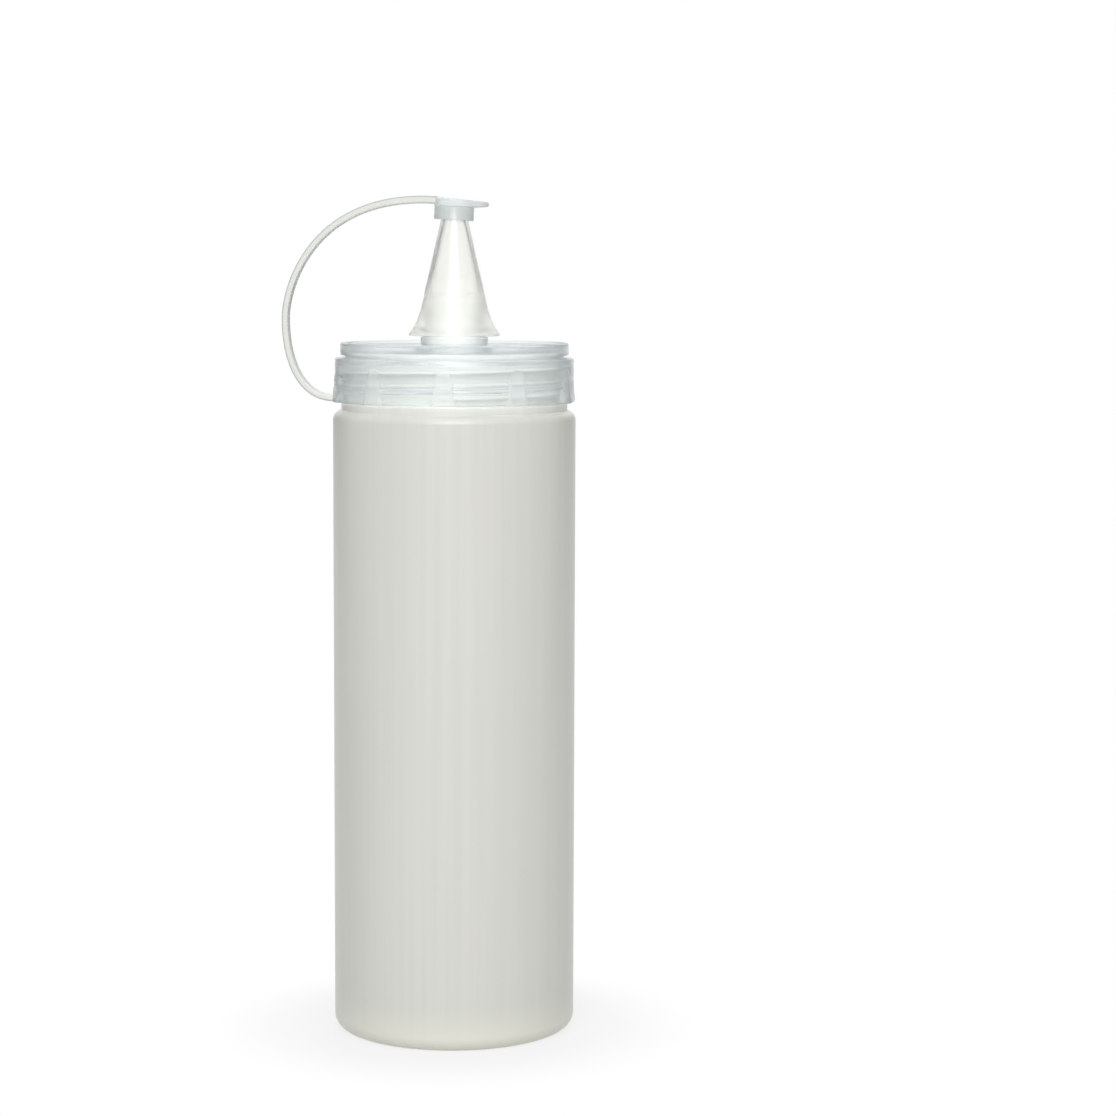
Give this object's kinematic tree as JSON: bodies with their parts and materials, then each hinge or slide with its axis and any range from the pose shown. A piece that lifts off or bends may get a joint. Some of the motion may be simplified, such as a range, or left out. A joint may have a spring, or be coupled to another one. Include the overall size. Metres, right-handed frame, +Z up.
{
  "type": "squeeze sauce bottle",
  "caption": "Round soft-plastic squeeze bottle with a wide screw lid, a cone nozzle and a tip cap held on by a curved flexible strap.",
  "frame": {"origin": "centre of the bottle's base, in the plane it stands on", "axes": "+Z up along the bottle's axis, the strap swings out on the -X side, -Y is the front"},
  "size_m": [0.0848, 0.0704, 0.2419],
  "materials": {
    "bottle_ldpe": "milky translucent blow-moulded low-density polyethylene, soft satin",
    "foam_ring": "white closed-cell sealing foam",
    "lid_ldpe": "translucent injection-moulded polyethylene with a faint blue tint",
    "nozzle_ldpe": "clear-white injection-moulded polyethylene",
    "strap_ldpe": "translucent white polyethylene",
    "cap_ldpe": "translucent injection-moulded polyethylene with a faint blue tint"
  },
  "bodies": {
    "bottle": {"bottle_body": "bottle_ldpe"},
    "sealing_ring": {"mouth_gasket": "foam_ring"},
    "lid": {"screw_lid": "lid_ldpe", "nozzle": "nozzle_ldpe"},
    "strap_1": {"strap_link_1": "strap_ldpe"},
    "strap_2": {"strap_link_2": "strap_ldpe"},
    "strap_3": {"strap_link_3": "strap_ldpe"},
    "strap_4": {"strap_link_4": "strap_ldpe"},
    "strap_5": {"strap_link_5": "strap_ldpe"},
    "cap": {"tip_cap": "cap_ldpe"}
  },
  "joints": [
    {"name": "lid_lift", "type": "slide", "parent": "bottle", "child": "sealing_ring", "axis": [0, 0, 1], "range_m": [0, 0.00756]},
    {"name": "lid_turn", "type": "hinge", "parent": "sealing_ring", "child": "lid", "pos_m": [0, 0, 0.19], "axis": [0, 0, 1], "range_deg": [0, 756.1]},
    {"name": "strap_root_bend", "type": "hinge", "parent": "lid", "child": "strap_1", "pos_m": [-0.03757, 0, 0.18331], "axis": [0, -1, 0], "range_deg": [0, 10]},
    {"name": "strap_bend_2", "type": "hinge", "parent": "strap_1", "child": "strap_2", "pos_m": [-0.04866, 0, 0.19654], "axis": [0, -1, 0], "range_deg": [0, 19]},
    {"name": "strap_bend_3", "type": "hinge", "parent": "strap_2", "child": "strap_3", "pos_m": [-0.04873, 0, 0.21402], "axis": [0, -1, 0], "range_deg": [0, 24]},
    {"name": "strap_bend_4", "type": "hinge", "parent": "strap_3", "child": "strap_4", "pos_m": [-0.04045, 0, 0.22941], "axis": [0, -1, 0], "range_deg": [0, 30]},
    {"name": "strap_bend_5", "type": "hinge", "parent": "strap_4", "child": "strap_5", "pos_m": [-0.02592, 0, 0.23912], "axis": [0, -1, 0], "range_deg": [0, 33]},
    {"name": "cap_bend", "type": "hinge", "parent": "strap_5", "child": "cap", "pos_m": [-0.0087, 0, 0.24185], "axis": [0, -1, 0], "range_deg": [0, 21]}
  ],
  "couplings": [
    {"joint": "lid_turn", "follows": "lid_lift", "rad_per_m": 1745.3},
    {"joint": "strap_bend_2", "follows": "strap_root_bend", "ratio": 1.9},
    {"joint": "strap_bend_3", "follows": "strap_root_bend", "ratio": 2.4},
    {"joint": "strap_bend_4", "follows": "strap_root_bend", "ratio": 3},
    {"joint": "strap_bend_5", "follows": "strap_root_bend", "ratio": 3.3},
    {"joint": "cap_bend", "follows": "strap_root_bend", "ratio": 2.1}
  ]
}
